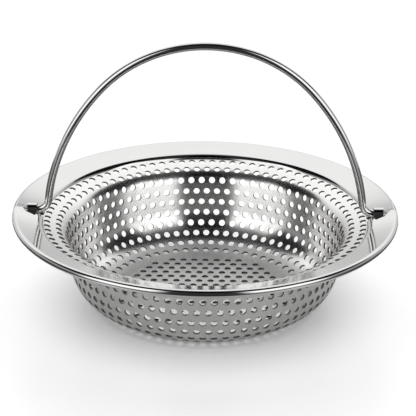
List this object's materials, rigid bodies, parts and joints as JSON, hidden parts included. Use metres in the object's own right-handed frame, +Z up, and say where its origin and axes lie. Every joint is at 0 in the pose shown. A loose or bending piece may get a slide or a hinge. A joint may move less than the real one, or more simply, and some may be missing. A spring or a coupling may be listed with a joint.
{
  "type": "sink strainer",
  "caption": "Round sink strainer: a drawn perforated bowl with a polished flat rim, and a wire bail that folds down either way and lifts it out of the drain.",
  "frame": {"origin": "middle of the underside of the basket's floor, which is the lowest face", "axes": "+Z up along the axis of the bowl, X along the axis on which the bail turns, -Y towards the viewer of the picture"},
  "size_m": [0.114, 0.114, 0.08],
  "materials": {
    "basket_steel": "bright satin stainless sheet",
    "rim_steel": "mirror-polished stainless",
    "bail_wire": "polished stainless wire"
  },
  "bodies": {
    "strainer": {"perforated_basket": "basket_steel", "rim_ring": "rim_steel"},
    "handle": {"bail_handle": "bail_wire"}
  },
  "joints": [
    {"name": "handle_fold", "type": "hinge", "parent": "strainer", "child": "handle", "pos_m": [0, 0, 0.02781], "axis": [1, 0, 0], "range_deg": [-88.5, 88.5]}
  ]
}
